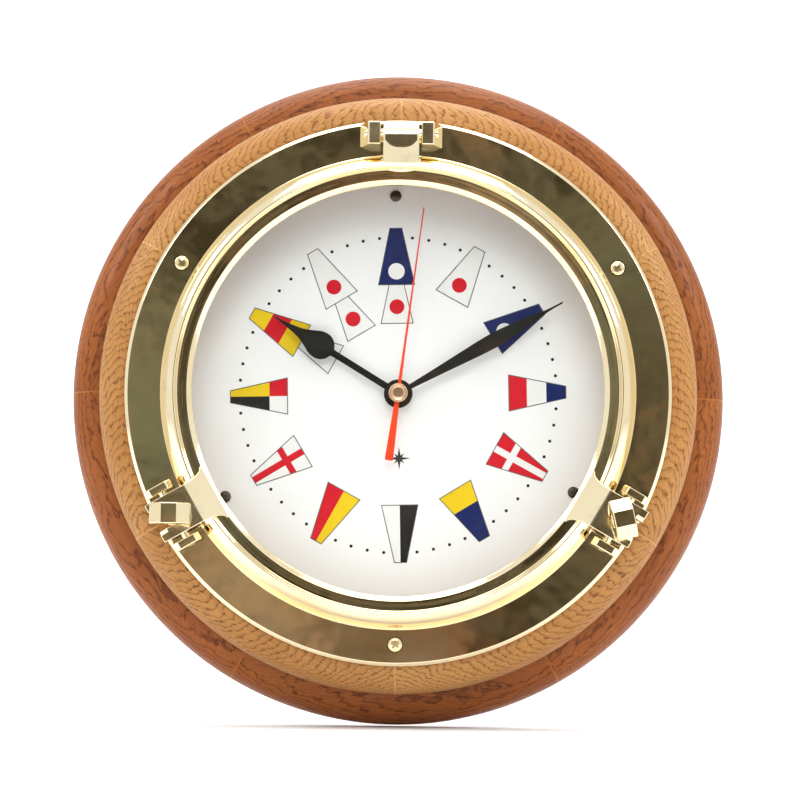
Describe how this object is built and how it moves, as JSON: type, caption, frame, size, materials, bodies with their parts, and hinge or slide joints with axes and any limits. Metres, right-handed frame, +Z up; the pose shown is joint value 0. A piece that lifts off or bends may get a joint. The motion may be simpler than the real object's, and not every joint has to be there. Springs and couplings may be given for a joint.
{
  "type": "ships deck clock",
  "caption": "Round wall clock in the style of a port light: hinged brass lid with swing-bolt dogs over a signal-flag dial, on a stepped ring of glued oak segments.",
  "frame": {"origin": "centre of the back face of the oak, on the wall plane and on the clock axis", "axes": "+Z up, -Y out of the dial towards the viewer, +X to the viewer's right"},
  "size_m": [0.2636, 0.069, 0.264],
  "materials": {
    "oak_lower": "satin varnish",
    "oak_upper": "satin varnish",
    "polished_brass": "polished and lacquered",
    "clear_glass": "clear, polished",
    "gasket_rubber": "matte",
    "dial_white": "satin white enamel with printed flags",
    "blackened_steel": "blackened",
    "zinc_steel": "zinc plated",
    "black_plastic": "fine matte",
    "gear_nylon": "natural nylon",
    "board_green": "solder mask",
    "coil_copper": "enamelled copper wire",
    "cell_jacket": "satin printed jacket",
    "hand_black": "satin black paint",
    "hand_red": "gloss red paint"
  },
  "bodies": {
    "case": {"lower_ring_segment_1": "oak_lower", "lower_ring_segment_2": "oak_lower", "lower_ring_segment_3": "oak_lower", "lower_ring_segment_4": "oak_lower", "lower_ring_segment_5": "oak_lower", "lower_ring_segment_6": "oak_lower", "upper_ring_segment_1": "oak_upper", "upper_ring_segment_2": "oak_upper", "upper_ring_segment_3": "oak_upper", "upper_ring_segment_4": "oak_upper", "upper_ring_segment_5": "oak_upper", "upper_ring_segment_6": "oak_upper", "flange_ring": "polished_brass", "hinge_pin": "polished_brass", "fixing_nut": "polished_brass", "flange_screw_1": "polished_brass", "flange_screw_2": "polished_brass", "flange_screw_3": "polished_brass", "dog_pin_right": "polished_brass", "dog_pin_left": "polished_brass", "dial_plate": "dial_white", "dial_screw_1": "blackened_steel", "dial_screw_2": "blackened_steel", "dial_screw_3": "blackened_steel", "hanger_plate": "zinc_steel", "hanger_screw_1": "zinc_steel", "hanger_screw_2": "zinc_steel", "movement_case": "black_plastic", "movement_cover": "black_plastic", "train_plate": "gear_nylon", "stator": "zinc_steel", "quartz_crystal": "zinc_steel", "contact_positive": "zinc_steel", "contact_negative": "zinc_steel", "circuit_board": "board_green", "coil": "coil_copper", "battery": "cell_jacket"},
    "lid": {"lid_ring": "polished_brass", "glass": "clear_glass", "lid_gasket": "gasket_rubber", "glass_retainer": "polished_brass"},
    "seconds": {"seconds_wheel": "gear_nylon", "seconds_hand": "hand_red", "hand_cap": "polished_brass"},
    "centre": {"centre_wheel": "gear_nylon", "minute_hand": "hand_black"},
    "hour": {"hour_wheel": "gear_nylon", "hour_hand": "hand_black"},
    "third": {"third_wheel": "gear_nylon"},
    "fifth": {"fifth_wheel": "gear_nylon"},
    "rotor": {"rotor": "zinc_steel"},
    "minute_work": {"minute_wheel": "gear_nylon", "setting_knob": "black_plastic"},
    "dog_right": {"dog_bolt_right": "polished_brass"},
    "dog_right_washer": {"dog_washer_right": "polished_brass"},
    "dog_right_nut": {"thumb_nut_right": "polished_brass"},
    "dog_left": {"dog_bolt_left": "polished_brass"},
    "dog_left_washer": {"dog_washer_left": "polished_brass"},
    "dog_left_nut": {"thumb_nut_left": "polished_brass"}
  },
  "joints": [
    {"name": "lid_hinge", "type": "hinge", "parent": "case", "child": "lid", "pos_m": [0, -0.0448, 0.1014], "axis": [-1, 0, 0], "range_deg": [0, 100]},
    {"name": "dog_right_swing", "type": "hinge", "parent": "case", "child": "dog_right", "pos_m": [0.0866, -0.041, -0.05], "axis": [0.5, 0, 0.866], "range_deg": [0, 85]},
    {"name": "dog_right_travel", "type": "slide", "parent": "dog_right", "child": "dog_right_washer", "axis": [0, -1, 0], "range_m": [-0.0008, 0.0024]},
    {"name": "dog_right_nut_turn", "type": "hinge", "parent": "dog_right_washer", "child": "dog_right_nut", "pos_m": [0.0866, -0.06, -0.05], "axis": [0, -1, 0], "range_deg": [-360, 1080]},
    {"name": "dog_left_swing", "type": "hinge", "parent": "case", "child": "dog_left", "pos_m": [-0.0866, -0.041, -0.05], "axis": [0.5, 0, -0.866], "range_deg": [0, 85]},
    {"name": "dog_left_travel", "type": "slide", "parent": "dog_left", "child": "dog_left_washer", "axis": [0, -1, 0], "range_m": [-0.0008, 0.0024]},
    {"name": "dog_left_nut_turn", "type": "hinge", "parent": "dog_left_washer", "child": "dog_left_nut", "pos_m": [-0.0866, -0.06, -0.05], "axis": [0, -1, 0], "range_deg": [-360, 1080]},
    {"name": "seconds_spin", "type": "hinge", "parent": "case", "child": "seconds", "pos_m": [0, -0.01, 0], "axis": [0, 1, 0], "continuous": true},
    {"name": "fifth_spin", "type": "hinge", "parent": "case", "child": "fifth", "pos_m": [-0.007, -0.01, -0.00169], "axis": [0, 1, 0], "continuous": true},
    {"name": "rotor_spin", "type": "hinge", "parent": "case", "child": "rotor", "pos_m": [-0.0135, -0.01, 0.00091], "axis": [0, 1, 0], "continuous": true},
    {"name": "third_spin", "type": "hinge", "parent": "case", "child": "third", "pos_m": [0.0065, -0.01, 0.00786], "axis": [0, 1, 0], "continuous": true},
    {"name": "minute_hand_spin", "type": "hinge", "parent": "case", "child": "centre", "pos_m": [0, -0.01, 0], "axis": [0, 1, 0], "continuous": true},
    {"name": "minute_work_spin", "type": "hinge", "parent": "case", "child": "minute_work", "pos_m": [-0.0083, -0.01, 0.00782], "axis": [0, 1, 0], "continuous": true},
    {"name": "hour_hand_spin", "type": "hinge", "parent": "case", "child": "hour", "pos_m": [0, -0.01, 0], "axis": [0, 1, 0], "continuous": true}
  ],
  "couplings": [
    {"joint": "dog_right_nut_turn", "follows": "dog_right_travel", "rad_per_m": 7853.9},
    {"joint": "dog_left_nut_turn", "follows": "dog_left_travel", "rad_per_m": 7853.9},
    {"joint": "fifth_spin", "follows": "seconds_spin", "ratio": -5},
    {"joint": "rotor_spin", "follows": "seconds_spin", "ratio": 30},
    {"joint": "third_spin", "follows": "seconds_spin", "ratio": -0.13333},
    {"joint": "minute_hand_spin", "follows": "seconds_spin", "ratio": 0.016667},
    {"joint": "minute_work_spin", "follows": "seconds_spin", "ratio": -0.0055556},
    {"joint": "hour_hand_spin", "follows": "seconds_spin", "ratio": 0.0013889}
  ]
}
